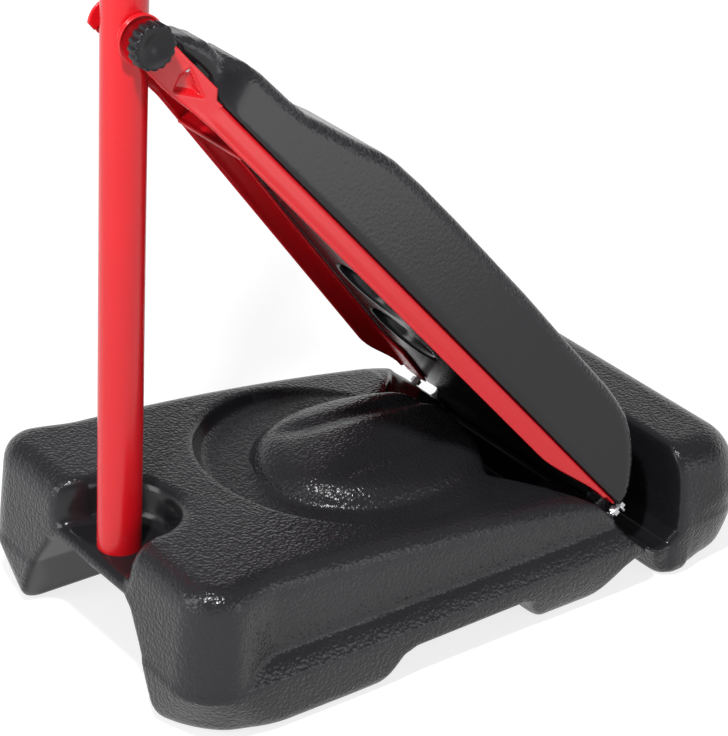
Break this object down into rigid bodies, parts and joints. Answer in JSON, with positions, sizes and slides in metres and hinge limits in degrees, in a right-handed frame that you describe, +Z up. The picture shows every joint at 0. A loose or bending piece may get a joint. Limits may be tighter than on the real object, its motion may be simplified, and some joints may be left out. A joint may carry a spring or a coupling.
{
  "type": "spring reflex bag",
  "caption": "Free-standing spring reflex bag: ballast base, post with a sloping tank brace, sliding mast, coil spring and striking ball.",
  "frame": {"origin": "on the floor, below the middle of the whole object's bounding box", "axes": "+X along the base from the post to its raised end block, +Y across the base, +Z up along the post"},
  "size_m": [0.8949, 0.46, 1.56],
  "materials": {
    "black_plastic": "blow-moulded black polyethylene, pebbled with satin flanks",
    "glossy_plastic": "smooth black moulded plastic",
    "red_paint": "glossy red powder coat on steel",
    "zinc": "bright zinc plated steel",
    "spring_steel": "plated spring steel wire",
    "brass": "turned brass",
    "rubber": "soft black rubber",
    "ball_leather": "coated synthetic leather, sewn panels",
    "foam": "grey open-cell foam lining"
  },
  "bodies": {
    "base": {"base_tank": "black_plastic", "base_cap_gasket": "rubber", "foot_washer": "zinc", "foot_bolt": "zinc", "foot_plug": "black_plastic", "lower_post": "red_paint", "post_sleeve": "zinc", "collar": "black_plastic", "collar_bush": "black_plastic", "clamp_bolt": "zinc", "near_disc": "red_paint", "far_disc": "red_paint"},
    "brace": {"near_rail": "red_paint", "far_rail": "red_paint", "web": "red_paint", "upper_tank": "black_plastic", "tank_bolts": "zinc", "tank_washers": "zinc", "tank_nuts": "zinc", "neck_screw": "zinc", "neck_tube": "black_plastic", "tank_cap_gasket": "rubber"},
    "base_cap": {"base_cap": "glossy_plastic"},
    "tank_cap": {"tank_cap": "glossy_plastic"},
    "star_knob": {"star_knob": "glossy_plastic", "knob_insert": "brass"},
    "height_knob": {"height_knob": "glossy_plastic", "height_screw": "zinc"},
    "mast": {"mast": "red_paint", "mast_glide": "black_plastic", "lower_ferrule": "black_plastic"},
    "spring": {"coil_spring": "spring_steel"},
    "bag": {"upper_ferrule": "black_plastic", "stud": "zinc", "lock_nut": "zinc", "seat_dish": "black_plastic", "ball_cover": "ball_leather", "ball_lining": "foam", "ball_bladder": "rubber", "ball_valve": "rubber", "ball_neck": "black_plastic"}
  },
  "joints": [
    {"name": "brace_tip", "type": "hinge", "parent": "base", "child": "brace", "pos_m": [0.2537, 0, 0.0968], "axis": [0, 1, 0], "range_deg": [0, 40]},
    {"name": "star_knob_turn", "type": "hinge", "parent": "base", "child": "star_knob", "pos_m": [-0.3275, -0.042, 0.747], "axis": [0, -1, 0], "continuous": true},
    {"name": "base_cap_turn", "type": "hinge", "parent": "base", "child": "base_cap", "pos_m": [0.3725, 0.122, 0.165], "axis": [0, 0, 1], "continuous": true},
    {"name": "tank_cap_turn", "type": "hinge", "parent": "brace", "child": "tank_cap", "pos_m": [0.09093, 0, 0.43465], "axis": [0.7562, 0, 0.6544], "continuous": true},
    {"name": "mast_slide", "type": "slide", "parent": "base", "child": "mast", "axis": [0, 0, 1], "range_m": [0, 0.19]},
    {"name": "height_knob_turn", "type": "hinge", "parent": "base", "child": "height_knob", "pos_m": [-0.3275, -0.05, 1.035], "axis": [0, -1, 0], "continuous": true},
    {"name": "sway_along", "type": "hinge", "parent": "mast", "child": "spring", "pos_m": [-0.3275, 0, 1.165], "axis": [0, 1, 0], "range_deg": [-40, 40], "stiffness_Nm_per_rad": 30, "deforming": ["coil_spring"]},
    {"name": "sway_across", "type": "hinge", "parent": "spring", "child": "bag", "pos_m": [-0.3275, 0, 1.217], "axis": [1, 0, 0], "range_deg": [-40, 40], "stiffness_Nm_per_rad": 30, "deforming": ["coil_spring"]}
  ]
}
